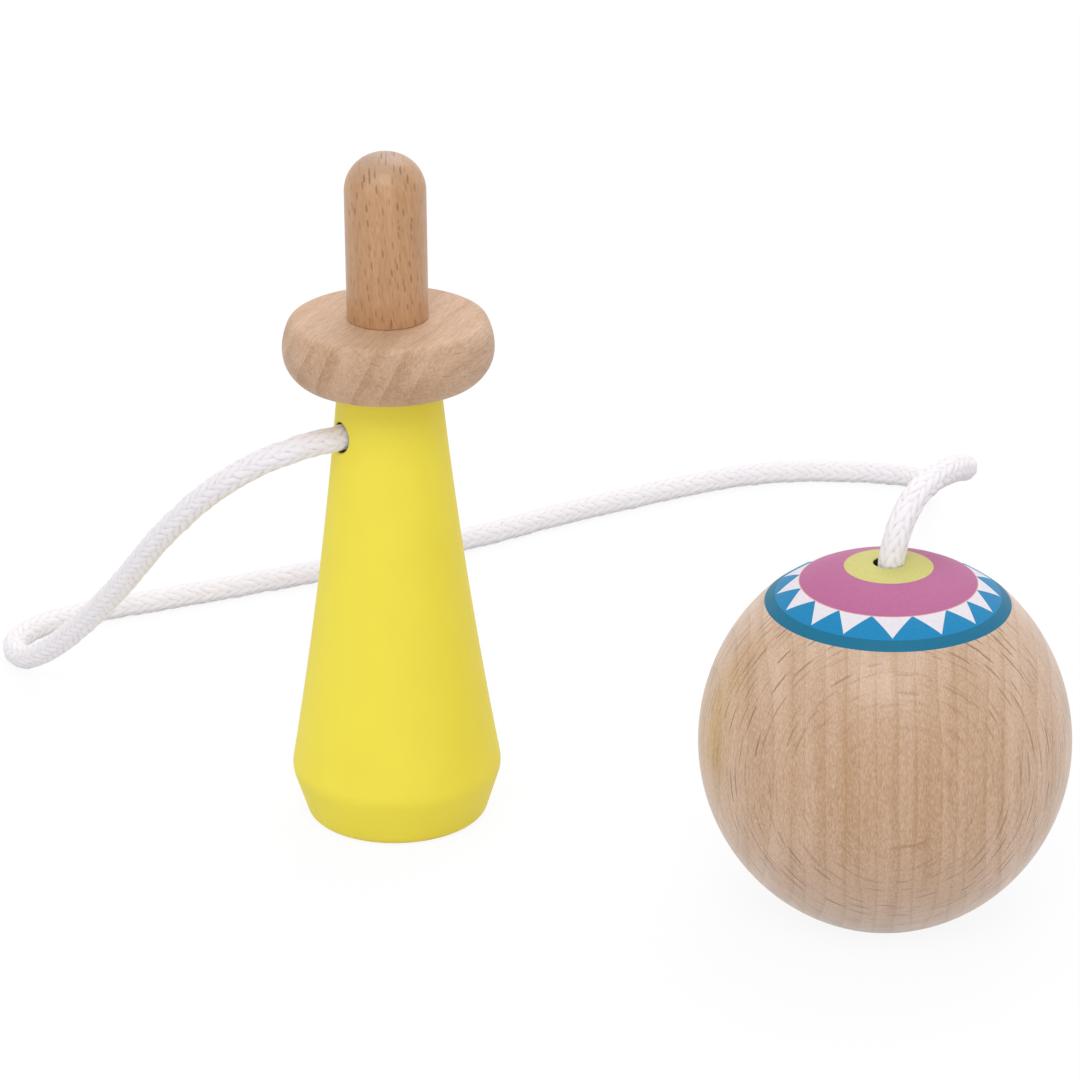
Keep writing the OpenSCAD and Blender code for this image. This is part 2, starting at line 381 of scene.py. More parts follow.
route = np.array([
    PORT_WAY * CORD_ROOT + [0, 0, PORT_HEIGHT],
    PORT_WAY * CORD_MOUTH + [0, 0, PORT_HEIGHT],
    (-11, -12.5, 68.7), (-18.5, -14.6, 65), (-27.5, -13.5, 58.3),
    (-38.5, -8.8, 47.8), (-51, 0, 34.2), (-64.5, 10.3, 20.5),
    (-77, 18.4, 9.4), (-85.5, 23.7, 3.6), (-90.2, 27.4, 2.3),
    (-92.6, 31.8, 2.3), (-92.6, 37, 2.3), (-90.4, 43, 2.3),
    (-86, 49.5, 2.3), (-75.5, 61, 2.3), (-57.5, 81, 2.3),
    (-37, 107.2, 2.3), (-22.5, 129.5, 2.3), (-7.5, 149.8, 2.3),
    (2, 160.3, 2.3), (11, 166.2, 2.3), (21, 170, 2.3), (30, 172, 2.3),
    (35.2, 170.8, 2.5), (37.7, 167, 3.4), (40.2, 159.5, 5.9),
    (43.8, 145, 11.4), (52.3, 120.5, 21.7), (62.3, 94, 34.3),
    (72.9, 67.5, 47.3), (87.2, 36.8, 62.2), (89.9, 29, 65.4),
    (90.5, 21.5, 68), (90.1, 14.5, 69.1), (89.4, 8.2, 68.8),
    (88.7, 3.4, 66.3), (88.2, 0.9, 62.8), (87.75, 0.1, 58.8957),
    (87.5, 0, 54.058)])


def spline(points, per_span):
    """Catmull-Rom: between b and c, with neighbours a and d, at share t, the
    point is b + t/2 (c - a + t (2a - 5b + 4c - d + t (3b - 3c + d - a)))."""
    a = np.vstack([points[:1], points[:-2]])[:, None]
    b, c = points[:-1, None], points[1:, None]
    d = np.vstack([points[2:], points[-1:]])[:, None]
    t = np.arange(per_span)[None, :, None] / per_span
    bent = 3 * (b - c) + d - a
    on = b + 0.5 * t * (c - a + t * (2 * a - 5 * b + 4 * c - d + t * bent))
    return np.vstack([on.reshape(-1, 3), points[-1:]])


dense = spline(route, PER_SPAN)
dense_run = run_along(dense)
split_run = dense_run[SPLIT_POINT * PER_SPAN]
print("cord in mm:", round(dense_run[-1], 1), "to the split:", round(split_run, 1))

# %% [markdown]
# ## The braid
# A round braid has yarns running round it both ways, each going over two and
# under two of the others. The yarns that are on top line up in straight
# columns along the cord, leaning left in one column and right in the next,
# which the eye reads as a row of chevrons. Sixteen modelled yarns would cost
# millions of faces, so the relief is worked out as a height over a plain
# tube: at each point it is the higher of the two yarns that cross there.

# %% Braid relief
YARNS_EACH_WAY, LAY_LENGTH = 8, 20.0
YARN_RISE, CROSSING_RISE = 0.24, 0.11
WANDER, BACK_WANDER = 0.10, 0.7
WANDER_WAVES = ((1.7, 3), (0.9, -2))
# each yarn reads its own stretch of the fibre pattern
YARN_SHIFT, BACK_SHIFT = 37.0, 1000.0


def braid(along, angle):
    """Height and yarn coordinates of a two-over-two braid. With n yarns each
    way, a yarn's number is n angle / 2 pi, less or plus n along / lay; the
    distance to the nearest whole number is how far a point is off that yarn,
    and sqrt(1 - (2 off)^2) is its round top. The one that is over follows the
    cosine of a quarter turn for each crossing. Two slow sines let the yarns
    wander, since no braid is pulled evenly."""
    share = YARNS_EACH_WAY * angle / (2 * np.pi)
    drift = YARNS_EACH_WAY * along / LAY_LENGTH
    loose = WANDER * sum(np.sin(a * along + b * angle) for a, b in WANDER_WAVES)
    number = np.stack([share - drift + loose, share + drift - BACK_WANDER * loose])
    off = number - np.round(number)
    over = np.cos(np.pi * (2 * share - 0.5) / 2)
    top = np.sqrt(np.maximum(0, 1 - (2 * off) ** 2))
    rise = YARN_RISE * top + CROSSING_RISE * np.stack([over, -over])
    first = rise[0] >= rise[1]
    height = np.where(first, rise[0], rise[1])
    lean = np.hypot(1, np.pi * CORD_DIAMETER / LAY_LENGTH)
    yarn = np.where(first, np.round(number[0]) * YARN_SHIFT,
                    np.round(number[1]) * YARN_SHIFT + BACK_SHIFT)
    level = height / (YARN_RISE + CROSSING_RISE)
    return height, np.stack([along * lean + yarn, np.where(first, off[0], off[1]), level], -1)


print("relief in mm:", YARN_RISE + CROSSING_RISE)

# %% Frames along a path
# a direction that no stretch of the cord runs along
ACROSS_ALL = (0.25, 0.35, 0.9)


def carried_frames(path):
    """Two directions across a path that turn no more than it bends. Frames
    from a fixed direction come first; each step's own twist against the
    smallest rotation between tangents is summed up and taken out again."""
    t = np.gradient(path, axis=0)
    t /= np.linalg.norm(t, axis=1, keepdims=True)
    side = np.cross(t, ACROSS_ALL)
    side /= np.linalg.norm(side, axis=1, keepdims=True)
    up = np.cross(t, side)
    a, b, s = t[:-1], t[1:], side[:-1]
    axis = np.cross(a, b)
    cosine = np.sum(a * b, axis=1, keepdims=True)
    moved = (s * cosine + np.cross(axis, s)
             + axis * np.sum(axis * s, axis=1, keepdims=True) / (1 + cosine))
    twist = np.arctan2(np.sum(moved * up[1:], axis=1), np.sum(moved * side[1:], axis=1))
    back = np.append(0, np.cumsum(twist))[:, None]
    return np.cos(back) * side + np.sin(back) * up, np.cos(back) * up - np.sin(back) * side


print("first direction across the cord:", np.round(carried_frames(dense)[0][0], 2))

# %% Braided tube
BRAID_PROUD = 0.06
BRAID_TOP = CORD_DIAMETER / 2 + BRAID_PROUD
UNEVEN, SLACK_TURN = 0.045, 9
SLACK_WAVES = ((0.83, 0.0), (0.31, 1.0), (1.7, 2.0))
ROUND_COLUMNS, ROW_SPACING = 64, 0.385


def braided_tube(path, along, columns):
    """A tube whose radius is the braid's height over its core, a little uneven
    as hand-pulled cord is: the path plus the radius times (cos side + sin up)."""
    side, up = carried_frames(path)
    angle = all_round(columns)
    height, yarn = braid(along[:, None], angle[None])
    slack = sum(np.sin(along * wave + start) for wave, start in SLACK_WAVES)
    radius = (BRAID_TOP - YARN_RISE - CROSSING_RISE + height + UNEVEN
              * slack[:, None] * np.cos(angle + along[:, None] / SLACK_TURN))
    ring = np.cos(angle)[None, :, None] * side[:, None] + np.sin(angle)[None, :, None] * up[:, None]
    return path[:, None] + radius[..., None] * ring, yarn


def closed_tube(grid, yarn, path):
    """Points, faces and yarn values of a stretch of tube with flat ends."""
    points, faces = capped(grid.reshape(-1, 3), *grid.shape[:2], path[[0, -1]])
    return points, faces, np.vstack([yarn.reshape(-1, 3), yarn[[0, -1], 0]])


row_run = np.linspace(0, dense_run[-1], int(dense_run[-1] / ROW_SPACING) + 1)
split_row = int(np.argmin(np.abs(row_run - split_run)))
path = read_at(dense, dense_run, row_run)
cord_grid, cord_yarn = braided_tube(path, row_run, ROUND_COLUMNS)
print("cord rows:", len(path), "lowest point:", cord_grid[..., 2].min().round(3))

# %% [markdown]
# ## Cotton
# The cord is bleached cotton yarn: almost white, quite matt, with a slight
# halo from loose fibres. A soft grey-lilac shade is painted into the grooves,
# where light has bounced between yarns. Its fibres run along each yarn, so the
# pattern is read from the yarn coordinates that the mesh carries. A fibre is
# only about 0.02 mm wide, so tufts of about 0.25 mm are drawn, which do show.

# %% Cotton material
# the groove colour is painted shade, where little light reaches between the yarns
COTTON_TOP, COTTON_GROOVE_SHADE = "#f8f4f7", "#cfc9d1"
FIBRE_LENGTH, FIBRES_ACROSS = 2.6, 6.0

cotton, tree = new_material("bleached braided cotton")
held = add(tree, "Attribute", attribute_name="yarn").outputs["Vector"]
along_yarn = add(tree, "VectorMath", {0: held, 1: (1 / FIBRE_LENGTH, FIBRES_ACROSS, 0)},
                 operation="MULTIPLY")
fibres = add(tree, "TexNoise", {"Vector": along_yarn, "Scale": 1.0, "Detail": 3.0, "Roughness": 0.6})
level = add(tree, "SeparateXYZ", {0: held}).outputs["Z"]
# low points of the braid's relief get the groove colour, a painted shade
depth = add(tree, "MapRange", {"Value": level, "From Min": 0.22, "From Max": 0.72},
            interpolation_type="SMOOTHSTEP")
wisp = add(tree, "MapRange", {"Value": fibres, "From Min": 0.25, "From Max": 0.75, "To Min": 0.78})
shade = add(tree, "Math", {0: depth, 1: wisp}, operation="MULTIPLY")
tint = add(tree, "Mix", {MIX_BY: shade, MIX_FROM: linear(COTTON_GROOVE_SHADE), MIX_TO: linear(COTTON_TOP)},
           data_type="RGBA")
relief = add(tree, "Bump", {"Strength": 0.5, "Distance": 0.00012, "Height": fibres})
body = add(tree, "BsdfPrincipled", {
    "Base Color": tint, "Roughness": 0.9, "IOR": 1.45,
    "Specular IOR Level": 0.25, "Sheen Weight": 0.25, "Sheen Roughness": 0.6,
    "Normal": relief})
add(tree, "OutputMaterial", {0: body})
print("fibres across a yarn:", FIBRES_ACROSS)

# %% [markdown]
# ## The cord as two pieces
# When the ball is thrown, the cord has to follow it. The run on the table has
# to stay put, so the cord is cut where it starts to rise, out of the
# photograph's sight. The long piece rides on the handle, and the rising piece
# is left in place, attached to no body. The braid runs on across the cut, so
# it doesn't show.

# %% Cord pieces
TUCK, TUCKED_ROWS = 0.985, 4


def tube_piece(name, first, last, tucked=0):
    """The stretch of the braided cord between two rows. Its first rows may be
    tucked a hair's breadth under the stretch before it."""
    centre = path[first:last, None]
    thin = np.where(np.arange(last - first) < tucked, TUCK, 1.0)[:, None, None]
    points, faces, values = closed_tube(
        centre + (cord_grid[first:last] - centre) * thin,
        cord_yarn[first:last], path[first:last])
    made = make_piece(name, points, faces, cotton, flat_from=len(faces[0]), yarn=values)
    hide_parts("cord")
    return made


table_run = tube_piece("cord_table_run", 0, split_row + 1)
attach(table_run, "handle")
ball_run = tube_piece("cord_ball_run", split_row - TUCKED_ROWS, len(path), TUCKED_ROWS)
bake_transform(ball_run)

# %% [markdown]
# ## The stopper knot
# Out of sight inside the ball, the cord is tied off so that it can't pull
# through. A double overhand knot shows as turns of cord wound round the
# standing part, so the path goes straight down, doubles back and climbs as a
# helix. The cord is pulled tight there and is a little thinner.

# %% Knot path
KNOT_TURNS, COIL_RADIUS, COIL_LOW, COIL_HIGH = 1.55, 3.1, 33.6, 37.9
COIL_STEPS, COIL_STRIDE = 60, 4
NECK_TOP, STANDING_LOW, STANDING_POINTS = 53.75, 35.5, 8
KNOT_PER_SPAN, KNOT_SPACING = 20, 0.45

turn = np.linspace(0, 1, COIL_STEPS)[::COIL_STRIDE]
swing = turn * KNOT_TURNS * 2 * np.pi
coil = np.column_stack([COIL_RADIUS * np.cos(swing), COIL_RADIUS * np.sin(swing),
                        COIL_LOW + (COIL_HIGH - COIL_LOW) * turn])
standing = np.outer(np.linspace(NECK_TOP, STANDING_LOW, STANDING_POINTS), [0, 0, 1])
bight = np.array([(0.2, -0.6, 33.6), (1.2, -1.6, 32.6), (2.4, -1.4, 32.9)])
knot_line = spline(np.vstack([standing, bight, coil]) + [BALL_X, 0, 0], KNOT_PER_SPAN)
knot_run = run_along(knot_line)
knot_row = np.linspace(0, knot_run[-1], int(knot_run[-1] / KNOT_SPACING) + 1)
knot_path = read_at(knot_line, knot_run, knot_row)
print("cord in the knot in mm:", round(knot_run[-1], 1))

# %% Knot
KNOT_COLUMNS, KNOT_SHRINK = 40, 0.74
TIGHT_BELOW, LOOSE_ABOVE = 41, 47

knot_grid, knot_yarn = braided_tube(knot_path, knot_row, KNOT_COLUMNS)
straight = np.clip((knot_path[:, 2:] - TIGHT_BELOW) / (LOOSE_ABOVE - TIGHT_BELOW), 0, 1)[..., None]
knot_centre = knot_path[:, None]
knot_grid = knot_centre + (knot_grid - knot_centre) * (KNOT_SHRINK + (1 - KNOT_SHRINK) * straight)
points, faces, values = closed_tube(knot_grid, knot_yarn, knot_path)
knot = make_piece("stopper_knot", points, faces, cotton, flat_from=len(faces[0]), yarn=values)
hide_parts("ball_knot")
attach(knot, "cord_end")

print("cord pieces in mm:", round(split_run), round(dense_run[-1] - split_run))

# %% [markdown]
# ## Beech
# Beech is a pale pinkish brown wood. It shows three things: soft bands where
# the yearly layers come to the surface, fine streaks along the grain, and
# short dark flecks, which are the wood's rays. A ray is a thin upright plate
# that runs from the bark to the heart, so it shows as a dash where it is cut
# across and fades out where the surface follows it. All of this is drawn in
# millimetres in a solid block, and a Mapping node turns the block to how each
# piece was cut from it. The streaks are pores, less than 0.1 mm wide in real
# beech, and are drawn a few times as wide so that they show.

# %% Block of wood
NOISE_DETAIL = {"wander": 1.0, "band": 2.0, "streak": 3.0, "arc": 2.0}


def wood_block(tree, wood):
    """A block in mm across its ray plates, across its rings and along its
    grain: the place in it, noise stretched to the size of each pattern, and
    how squarely the surface shows a plate's flat side or end grain, as a
    cosine squared."""
    rays, rings = (np.array(wood[k]) / np.linalg.norm(wood[k]) for k in ("rays", "rings"))
    grain = np.cross(rays, rings)
    turn = Matrix([rays, rings, grain]).to_euler("XYZ")
    coordinates = add(tree, "TexCoord").outputs
    moved = add(tree, "VectorMath", {0: coordinates["Object"], 1: np.array(wood["heart"]) * MM},
                operation="SUBTRACT")
    at = add(tree, "Mapping", {"Vector": moved, "Rotation": turn, "Scale": (1 / MM,) * 3})
    block = {"at": at, "place": add(tree, "SeparateXYZ", {0: at}).outputs}
    for name, way in (("faces_ray", rays), ("faces_end", grain)):
        along = add(tree, "VectorMath", {0: coordinates["Normal"], 1: way}, operation="DOT_PRODUCT")
        block[name] = add(tree, "Math", {0: along, 1: along}, operation="MULTIPLY")
    for name, detail in NOISE_DETAIL.items():
        scaled = add(tree, "VectorMath", {0: at, 1: 1 / np.array(wood[name + "_size"])},
                     operation="MULTIPLY")
        block[name] = add(tree, "TexNoise", {"Vector": scaled, "Scale": 1.0, "Detail": detail,
                          "Roughness": 0.55})
    return block


print("noises in the wood:", list(NOISE_DETAIL))

# %% Layers, bands and streaks
MIDDLE_TONE = 0.5


def wood_tint(tree, wood, block):
    """The colour between the flecks. A yearly layer's age is the fraction of
    its distance / ring width, and its tone is the age to a power. Bands and
    streaks are noise along the grain, the flat side of the plates is darker,
    and end grain leans to a colour of its own. On the ball these two tints
    also paint light, a darker front and a paler top and underside as a
    painted sheen, and on the peg's tip the end colour is partly a painted
    reflection."""
    ring, power = wood["ring"], wood["ring_power"]
    layers = add(tree, "Math", {0: block["place"]["Y"], 1: 1 / ring}, operation="MULTIPLY")
    layers = add(tree, "Math", {0: block["wander"], 1: wood["wander"] / ring, 2: layers},
                 operation="MULTIPLY_ADD")
    age = add(tree, "Math", {0: layers}, operation="FRACT")
    late = add(tree, "Math", {0: age, 1: power}, operation="POWER")
    shown = add(tree, "MapRange", {"Value": block["faces_end"], "To Min": wood["side_share"]})
    late = add(tree, "Math", {0: late, 1: shown}, operation="MULTIPLY")

    ring_tone, band, streak = (wood[k] for k in ("ring_tone", "band", "streak"))
    level = MIDDLE_TONE - ring_tone / (1 + power) - band - streak
    tone = add(tree, "Math", {0: late, 1: ring_tone, 2: level}, operation="MULTIPLY_ADD")
    # on the ball the flat-side darkening is partly a painted sheen: it darkens the front and leaves the
    # upper part lighter
    for name, weight in (("band", 2 * band), ("streak", 2 * streak),
                         ("faces_ray", wood["flat_tone"])):
        tone = add(tree, "Math", {0: block[name], 1: weight, 2: tone}, operation="MULTIPLY_ADD")
    tone.use_clamp = True
    tint = add(tree, "Mix", {MIX_BY: tone, MIX_FROM: linear(wood["light"]),
               MIX_TO: linear(wood["dark"])}, data_type="RGBA")
    # the end colour: end grain on the collar, painted sheen on the ball, and partly painted reflection
    # on the peg's tip
    end_grain_and_sheen_share = add(tree, "Math", {0: block["faces_end"], 1: wood["end_grain_and_sheen_share"]}, operation="MULTIPLY")
    return add(tree, "Mix", {MIX_BY: end_grain_and_sheen_share, MIX_FROM: tint, MIX_TO: linear(wood["end"])},
               data_type="RGBA")


print("mean tone of the wood:", MIDDLE_TONE)

# %% Ray flecks
PLATE_WANDER, PLATE_HALF = 0.6, 0.10


def ray_flecks(tree, wood, block):
    """How dark the rays are. Each cell has one at a random place, dark within
    a flat ellipsoid that lies across the rings, and fainter where the surface
    shows its flat side. Broken lines, an even gap apart, are larger plates."""
    cell, half = np.array(wood["ray_cell"]), np.array(wood["ray_half"])
    boxed = add(tree, "VectorMath", {0: block["at"], 1: 1 / cell}, operation="MULTIPLY")
    nearest = add(tree, "TexVoronoi", {"Vector": boxed, "Scale": 1.0}).outputs
    away = add(tree, "VectorMath", {0: boxed, 1: nearest["Position"]}, operation="SUBTRACT")
    away = add(tree, "VectorMath", {0: away, 1: cell / half}, operation="MULTIPLY")
    reach = add(tree, "VectorMath", {0: away}, operation="LENGTH")
    mark = add(tree, "MapRange", {"Value": reach, "From Min": 1.0, "From Max": 0.5},
               interpolation_type="SMOOTHSTEP")
    luck = add(tree, "SeparateXYZ", {0: nearest["Color"]}).outputs["X"]
    strong = add(tree, "MapRange", {"Value": luck, "From Min": 1 - wood["ray_keep"],
                 "To Max": wood["ray"]})
    edge_on = add(tree, "MapRange", {"Value": block["faces_ray"], "From Min": 0.95, "From Max": 0.45,
                  "To Min": 0.1})
    for share in (strong, edge_on):
        mark = add(tree, "Math", {0: mark, 1: share}, operation="MULTIPLY")

    plates = add(tree, "Math", {0: block["place"]["X"], 1: 1 / wood["arc_gap"]}, operation="MULTIPLY")
    plates = add(tree, "Math", {0: block["wander"], 1: PLATE_WANDER, 2: plates},
                 operation="MULTIPLY_ADD")
    line = add(tree, "Math", {0: plates, 1: 0.5}, operation="PINGPONG")
    line = add(tree, "MapRange", {"Value": line, "From Min": PLATE_HALF, "From Max": 0.0},
               interpolation_type="SMOOTHSTEP")
    broken = add(tree, "MapRange", {"Value": block["arc"], "From Min": 0.48, "From Max": 0.68,
                 "To Max": wood["arc"]})
    line = add(tree, "Math", {0: line, 1: broken}, operation="MULTIPLY")
    return add(tree, "Math", {0: mark, 1: line}, operation="MAXIMUM")


print("share of a gap that a line fills:", 2 * PLATE_HALF)

# %% Beech and its lacquer
def beech_grain(tree, wood):
    """Colour and relief of turned beech: flecks darken the tint, streaks stand
    up and flecks lie low."""
    block = wood_block(tree, wood)
    flecks = ray_flecks(tree, wood, block)
    tint = add(tree, "Mix", {MIX_BY: flecks, MIX_FROM: wood_tint(tree, wood, block),
               MIX_TO: linear(wood["mark"])}, data_type="RGBA")
    height = add(tree, "Math", {0: block["streak"], 1: flecks}, operation="SUBTRACT")
    return tint, height


def lacquered(tree, colour, height, roughness, coat, coat_roughness):
    """A satin lacquer over a colour and a relief in the wood."""
    relief = add(tree, "Bump", {"Strength": 0.35, "Distance": 0.00006, "Height": height})
    body = add(tree, "BsdfPrincipled", {
        "Base Color": colour, "Roughness": roughness, "IOR": 1.35,
        "Coat Weight": coat, "Coat Roughness": coat_roughness, "Normal": relief})
    add(tree, "OutputMaterial", {0: body})


# rays and rings are the directions that ray plates and yearly layers face
BALL_WOOD = dict(
    # on the ball, end is a pale tint on faces that point up or down, a painted sheen on its top and
    # underside
    light="#dec0a9", dark="#b18962", mark="#7c4c2a", end="#dcc8b8",
    # rays points nearly at the camera, a little lower, so flat_tone darkens the ball's front and leaves
    # its upper part lighter: partly ray figure, partly painted sheen
    heart=(BALL_X, 0, 28), rays=(0.39, -0.89, 0.13), rings=(0.92, 0.40, 0),
    end_grain_and_sheen_share=0.5, flat_tone=0.30, ring=2.8, wander=5.0,
    wander_size=(24, 5, 140), ring_tone=0.55, ring_power=5.0, side_share=0.4,
    band=0.5, band_size=(14, 3.0, 110), streak=0.8,
    streak_size=(0.26, 0.20, 0.8), ray_cell=(1.15, 3.2, 5.6),
    ray_half=(0.17, 2.7, 4.2), ray_keep=0.95, ray=0.76, arc_gap=1.4, arc=0.36,
    arc_size=(2, 7, 9))
print("layers on the ball in mm:", BALL_WOOD["ring"])

# %% [markdown]
# ## Collar and peg
# The collar is a slice of a beech bar with a rounded side, turned with the
# grain lying flat, so its top shows streaks and its side shows bands. The peg
# is a dowel with a tenon: its shoulder sits on the collar, and the tenon is
# glued through the collar into the handle. A closed outline gives a ring, and
# one that starts and ends on the axis gives a solid.

# %% Collar
COLLAR_LOW, COLLAR_HIGH, COLLAR_RADIUS = 78.5, 89.0, 17.5
COLLAR_BULGE, UNDER_BULGE, BORE_RADIUS = 10.0, 6.0, 4.85
RIM_EASE, COLLAR_COLUMNS = 2.2, 160

middle = (COLLAR_LOW + COLLAR_HIGH) / 2
half_height = (COLLAR_HIGH - COLLAR_LOW) / 2
collar_outline = np.vstack([
    [(BORE_RADIUS, COLLAR_HIGH), (BORE_RADIUS, COLLAR_LOW)],
    arc((COLLAR_RADIUS - UNDER_BULGE, middle), UNDER_BULGE,
        -np.degrees(np.arcsin(half_height / UNDER_BULGE)), 0),
    arc((COLLAR_RADIUS - COLLAR_BULGE, middle), COLLAR_BULGE,
        0, np.degrees(np.arcsin(half_height / COLLAR_BULGE)))])
collar_outline = rows_by_bend(eased(collar_outline, RIM_EASE, True), step=0.6, turn=5, closed=True)

collar_beech, tree = new_material("satin lacquered beech collar")
COLLAR_WOOD = dict(
    light="#d6b599", dark="#ac8463", mark="#86603f", end="#a98260",
    heart=(0, 0, middle), rays=(0.31, 0, 0.95), rings=(-0.95, 0, 0.31),
    end_grain_and_sheen_share=0.15, flat_tone=0.0, ring=4.8, wander=12.0,
    wander_size=(30, 9, 120), ring_tone=0.4, ring_power=1.6, side_share=0.2,
    band=0.5, band_size=(5, 3.0, 40), streak=0.7,
    streak_size=(0.45, 0.30, 2.2), ray_cell=(1.6, 2.6, 4.0),
    ray_half=(0.15, 1.1, 1.5), ray_keep=0.6, ray=0.4, arc_gap=3.0, arc=0.16,
    arc_size=(2, 3.5, 6))
lacquered(tree, *beech_grain(tree, COLLAR_WOOD), roughness=0.6, coat=0.3, coat_roughness=0.45)

points, faces = turned(collar_outline, all_round(COLLAR_COLUMNS), (0, 0), True)
collar = make_piece("collar_ring", points, faces, collar_beech)
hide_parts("collar")
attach(collar, "handle")

# %% Peg
PEG_RADIUS, PEG_TOP, TIP_ROUND = 6.7, 117.0, 6.3
TENON_RADIUS, TENON_LOW, TENON_CHAMFER = 4.8, 60.5, 0.8
PEG_EASE, PEG_COLUMNS = 0.5, 128

peg_outline = np.vstack([
    [(0, TENON_LOW), (TENON_RADIUS - TENON_CHAMFER, TENON_LOW),
     (TENON_RADIUS, TENON_LOW + TENON_CHAMFER), (TENON_RADIUS, COLLAR_HIGH),
     (PEG_RADIUS, COLLAR_HIGH)],
    corner((PEG_RADIUS, COLLAR_HIGH), (PEG_RADIUS, PEG_TOP), (0, PEG_TOP),
           TIP_ROUND),
    [(0, PEG_TOP)]])
peg_outline = rows_by_bend(eased(peg_outline, PEG_EASE, False), step=0.8, turn=5, closed=False)

peg_beech, tree = new_material("glossy lacquered beech peg")
PEG_WOOD = dict(
    # on the peg, end is a pale grey tint on its tip: partly sanded end grain, partly a painted
    # reflection
    light="#cfa379", dark="#ab7b4f", mark="#764724", end="#ab978a",
    heart=(0, 0, COLLAR_HIGH), rays=(0.915, 0.39, 0.085),
    rings=(0.40, -0.92, 0), end_grain_and_sheen_share=0.55, flat_tone=0.0, ring=3.0,
    wander=2.5, wander_size=(20, 8, 120), ring_tone=0.2, ring_power=2.0,
    side_share=0.5, band=0.45, band_size=(2.2, 7, 50), streak=0.55,
    streak_size=(0.26, 0.4, 2.6), ray_cell=(1.0, 2.4, 2.3),
    ray_half=(0.22, 2.0, 0.95), ray_keep=0.95, ray=0.64, arc_gap=3.0, arc=0.0,
    arc_size=(2, 3.5, 6))
lacquered(tree, *beech_grain(tree, PEG_WOOD), roughness=0.5, coat=0.6, coat_roughness=0.36)

points, faces = turned(peg_outline, all_round(PEG_COLUMNS), (0, 0), False)
peg = make_piece("peg_dowel", points, faces, peg_beech)
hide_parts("peg")
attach(peg, "handle")

# %% [markdown]
# ## The ball and its crown
# The ball is a little fuller than a sphere, more above its middle than below,
# with a shallow dome on top that meets the shoulder in a soft crease. It is
# drilled from below for the peg and from above for the cord. The crown was
# painted while it turned: a lime disc, a pink ring, a blue ring with white
# triangles, and a teal edge. The triangles were set by eye, so they are not
# quite even. The mesh carries two values for that: how far a point is from
# the axis along the crown, and how far out it is by its triangle's own edge,
# which is the distance along the triangle plus a slope times the distance
# across it.

# %% Ball shape
BALL_RADIUS, EQUATOR, BELLY_RADIUS = 30.15, 28.3456, 32.0
SHOULDER_RADIUS, DOME_RADIUS = 33.5, 31.0
CORD_HOLE, PEG_HOLE = 2.5, 10.0
HOLE_STRAIGHT, HOLE_APEX, HALF_TAPER = 30.5, 47.82, np.radians(30)
FOOT_CHAMFER, BALL_EASE, ARC_POINTS = 0.8, 0.5, 200

dome_centre = BALL_TOP - DOME_RADIUS
shoulder_r = BALL_RADIUS - SHOULDER_RADIUS
apart = np.hypot(shoulder_r, EQUATOR - dome_centre)
inner = np.arccos((DOME_RADIUS ** 2 + apart ** 2 - SHOULDER_RADIUS ** 2) / (2 * DOME_RADIUS * apart))
bearing = np.arctan2(EQUATOR - dome_centre, shoulder_r)
crease_way = np.mod(bearing - inner, 2 * np.pi)
crease = np.array([DOME_RADIUS * np.cos(crease_way), dome_centre + DOME_RADIUS * np.sin(crease_way)])
rim_way = np.degrees(np.arccos(CORD_HOLE / DOME_RADIUS))
crease_shoulder = np.degrees(np.arctan2(crease[1] - EQUATOR, crease[0] - shoulder_r))
belly_r = BALL_RADIUS - BELLY_RADIUS
foot_way = -np.degrees(np.arcsin(EQUATOR / BELLY_RADIUS))
taper_top = HOLE_APEX - CORD_HOLE / np.tan(HALF_TAPER)
ball_outline = np.vstack([
    [(CORD_HOLE, taper_top)],
    arc((0, dome_centre), DOME_RADIUS, rim_way, np.degrees(crease_way), ARC_POINTS),
    arc((shoulder_r, EQUATOR), SHOULDER_RADIUS, crease_shoulder, 0, ARC_POINTS),
    arc((belly_r, EQUATOR), BELLY_RADIUS, 0, foot_way, ARC_POINTS),
    [(PEG_HOLE + FOOT_CHAMFER, 0), (PEG_HOLE, FOOT_CHAMFER),
     (PEG_HOLE, HOLE_STRAIGHT)]])
ball_rows = rows_by_bend(eased(ball_outline, BALL_EASE, True), step=0.55, turn=4, closed=True)
print("crease radius and height:", np.round(crease, 2), "rows:", len(ball_rows))

# %% Crown coordinates
FACING = np.arctan2(CAMERA_AT[1], CAMERA_AT[0] - BALL_X)
APEXES = np.radians([-86, -64.6, -41.9, -22.5, 2.8, 28.7, 51.2, 68.7, 90,
                     113, 136, 159, 182, 205, 228, 251]) + FACING
APEX_R, BASE_R, BASE_SHARE = 17.8, 14.3, 0.97
COLUMNS_EACH = 12

start_row = int(np.argmin(np.hypot(*(ball_rows - [CORD_HOLE, taper_top]).T)))
ball_rows = np.roll(ball_rows, -start_row, axis=0)
row_length = run_along(ball_rows)
rim_row = int(np.argmax(ball_rows[:, 1]))
crease_row = int(np.argmin(np.hypot(*(ball_rows - crease).T)))
row = np.arange(len(ball_rows))
crown_r = np.where(
    row < rim_row, ball_rows[rim_row, 0] - (row_length[rim_row] - row_length),
    np.where(row <= crease_row, ball_rows[:, 0],
             ball_rows[crease_row, 0] + row_length - row_length[crease_row]))
next_apex = np.append(APEXES[1:], APEXES[0] + 2 * np.pi)
gap = (next_apex - APEXES)[:, None]
step = np.arange(COLUMNS_EACH)[None] / COLUMNS_EACH
bearings = (APEXES[:, None] + gap * step).ravel()
from_apex = gap * np.minimum(step, 1 - step)
base_way = BASE_SHARE * gap / 2
slope = (APEX_R - BASE_R * np.cos(base_way)) / (BASE_R * np.sin(base_way))
by_edge = (np.cos(from_apex) + slope * np.sin(from_apex)).ravel()
